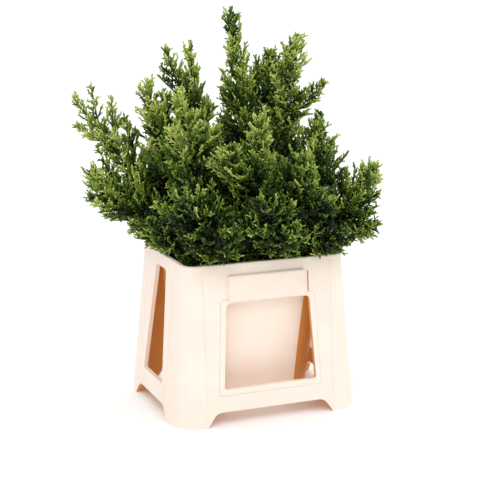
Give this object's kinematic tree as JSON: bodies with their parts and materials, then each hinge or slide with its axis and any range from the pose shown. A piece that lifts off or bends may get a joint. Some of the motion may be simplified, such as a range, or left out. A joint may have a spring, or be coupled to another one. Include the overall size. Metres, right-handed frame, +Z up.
{
  "type": "potted hinoki cypress",
  "caption": "Dense cord-like hinoki cypress foliage on cut branches that stand in a cream plastic bucket with a flared, windowed skirt.",
  "frame": {"origin": "centre of the bucket's flat underside, on the surface it stands on", "axes": "+X along the bucket's wide front towards the right, +Y to its back, +Z up"},
  "size_m": [0.571, 0.5247, 0.7722],
  "materials": {
    "bucket": "satin",
    "bark": "rough bark",
    "foliage": "dense scale leaves, matt to satin"
  },
  "bodies": {
    "root": {"bucket": "bucket", "skirt": "bucket", "stem_top": "bark", "stem_right_spike": "bark", "stem_right_shoulder": "bark", "stem_far_right": "bark", "stem_left_spike": "bark", "stem_left_branch": "bark", "stem_far_left": "bark", "stem_left": "bark", "stem_left_low": "bark", "stem_front_left": "bark", "stem_front": "bark", "stem_front_right": "bark", "stem_front_low": "bark", "stem_front_left_low": "bark", "stem_right_low": "bark", "stem_back": "bark", "stem_back_left": "bark", "stem_back_right": "bark", "stem_right_back": "bark", "foliage_top": "foliage", "foliage_right_spike": "foliage", "foliage_right_shoulder": "foliage", "foliage_far_right": "foliage", "foliage_left_spike": "foliage", "foliage_left_branch": "foliage", "foliage_far_left": "foliage", "foliage_left": "foliage", "foliage_left_low": "foliage", "foliage_front_left": "foliage", "foliage_front": "foliage", "foliage_front_right": "foliage", "foliage_front_low": "foliage", "foliage_front_left_low": "foliage", "foliage_right_low": "foliage", "foliage_back": "foliage", "foliage_back_left": "foliage", "foliage_back_right": "foliage", "foliage_right_back": "foliage"}
  },
  "joints": []
}
